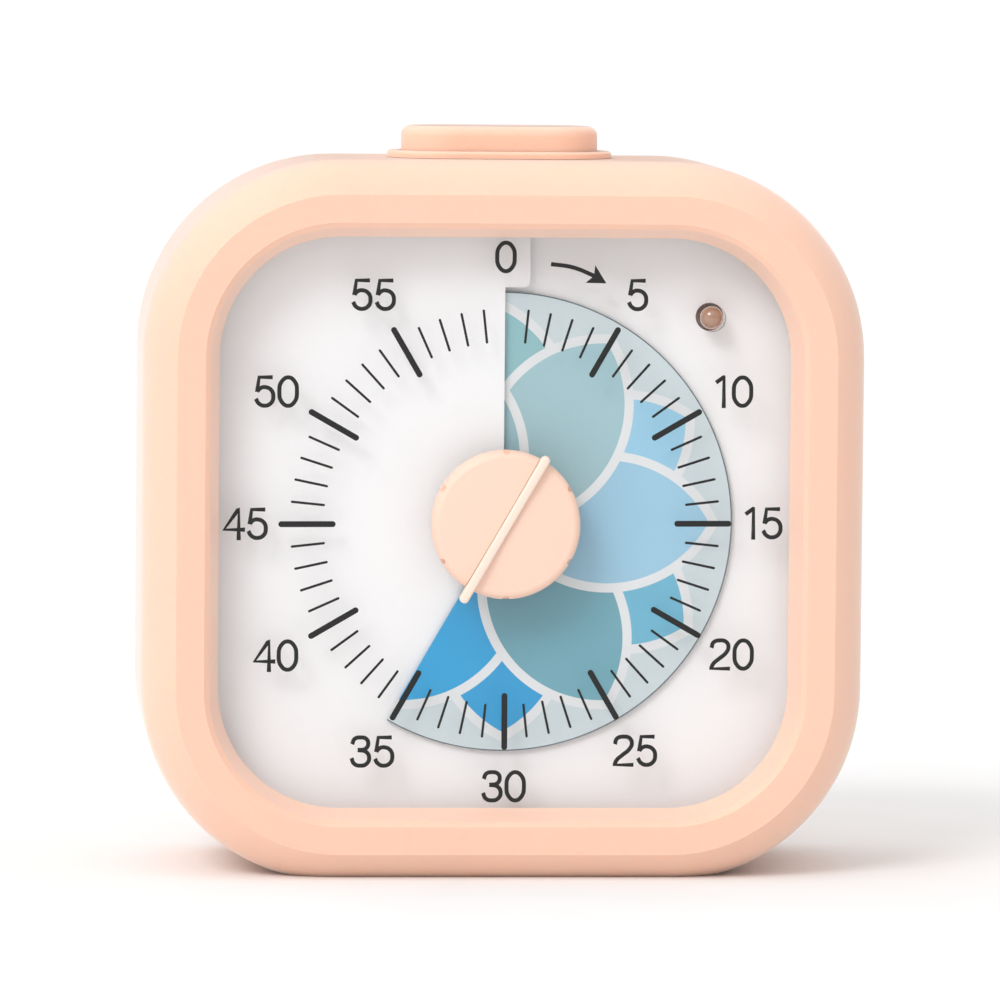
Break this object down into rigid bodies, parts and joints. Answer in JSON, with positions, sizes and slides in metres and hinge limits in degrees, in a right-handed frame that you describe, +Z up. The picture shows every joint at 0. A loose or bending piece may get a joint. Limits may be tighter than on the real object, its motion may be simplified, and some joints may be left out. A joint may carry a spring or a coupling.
{
  "type": "visual countdown timer",
  "caption": "Rounded square desk countdown timer: sunk dial under a clear window, sliding colour disc, centre knob, small lamp, wide top button and a battery door at the back.",
  "frame": {"origin": "middle of the flat base, at the surface it stands on", "axes": "+Z up, the dial faces -Y, +X to the viewer's right"},
  "size_m": [0.0898, 0.04, 0.0928],
  "materials": {
    "sleeve": "soft matte silicone",
    "housing": "fine moulded texture",
    "knob": "satin moulded",
    "pointer": "satin moulded",
    "button": "soft matte",
    "lens": "clear polished",
    "dial_white": "white printed sheet",
    "disc_print": "printed film",
    "inner_plastic": "plain moulded",
    "gear_plastic": "nylon",
    "steel": "bright",
    "brass": "turned",
    "copper": "enamelled winding",
    "magnet": "sintered",
    "board": "solder mask",
    "black_plastic": "moulded",
    "lamp": "clear epoxy",
    "nickel": "plated",
    "cell_jacket": "plain sleeve",
    "slider": "moulded"
  },
  "bodies": {
    "case": {"battery_cell_lower": "cell_jacket", "battery_cell_upper": "cell_jacket", "board_screws": "steel", "button_bezel": "button", "button_switch": "black_plastic", "buzzer": "black_plastic", "chassis_screws": "steel", "circuit_board": "board", "coil_bobbin": "black_plastic", "coil_core": "steel", "coil_winding": "copper", "contact_plates": "nickel", "contact_springs": "nickel", "dial_chassis": "inner_plastic", "dial_lens": "lens", "face_plate": "dial_white", "front_housing": "housing", "housing_screws": "steel", "indicator_lamp": "lamp", "intermediate_arbor": "steel", "lamp_board": "board", "lamp_leads": "nickel", "movement_back": "inner_plastic", "movement_front": "inner_plastic", "movement_screws": "steel", "quartz_can": "nickel", "rear_housing": "housing", "rotor_arbor": "steel", "shaft_bush": "brass", "silicone_sleeve": "sleeve", "stator_plate": "steel", "switch_board": "board", "switch_board_screws": "steel", "timer_chip": "black_plastic", "volume_switch_body": "black_plastic"},
    "knob": {"setting_knob": "knob", "knob_pointer": "pointer", "knob_shaft": "steel", "shaft_clip": "steel", "clutch_washer": "steel", "centre_wheel": "gear_plastic"},
    "disc": {"colour_disc": "disc_print", "disc_hub": "inner_plastic"},
    "intermediate_gear": {"intermediate_wheel": "gear_plastic"},
    "rotor": {"rotor_pinion": "gear_plastic", "rotor_magnet": "magnet"},
    "door": {"battery_door": "housing"},
    "slider": {"volume_slider": "slider"},
    "top_button": {"light_button": "button", "switch_plunger": "black_plastic"}
  },
  "joints": [
    {"name": "knob_turn", "type": "hinge", "parent": "case", "child": "knob", "pos_m": [0, 0, 0.0439], "axis": [0, 1, 0], "range_deg": [-210, 150]},
    {"name": "disc_advance", "type": "slide", "parent": "knob", "child": "disc", "axis": [0, -1, 0], "range_m": [-0.00082, 0.00059]},
    {"name": "intermediate_turn", "type": "hinge", "parent": "case", "child": "intermediate_gear", "pos_m": [0.01061, 0, 0.05451], "axis": [0, 1, 0], "range_deg": [-601, 841]},
    {"name": "rotor_turn", "type": "hinge", "parent": "case", "child": "rotor", "pos_m": [-0.00065, 0, 0.06101], "axis": [0, 1, 0], "range_deg": [-2802, 2002]},
    {"name": "button_press", "type": "slide", "parent": "case", "child": "top_button", "axis": [0, 0, -1], "range_m": [0, 0.0008], "stiffness_N_per_m": 400, "springref_m": -0.001},
    {"name": "volume_slide", "type": "slide", "parent": "case", "child": "slider", "axis": [1, 0, 0], "range_m": [0, 0.004]},
    {"name": "door_tilt", "type": "hinge", "parent": "case", "child": "door", "pos_m": [0, 0.01785, 0.0129], "axis": [-1, 0, 0], "range_deg": [0, 95]}
  ],
  "couplings": [
    {"joint": "disc_advance", "follows": "knob_turn", "m_per_rad": 0.00022282},
    {"joint": "intermediate_turn", "follows": "knob_turn", "ratio": -4},
    {"joint": "rotor_turn", "follows": "knob_turn", "ratio": 13.333}
  ]
}
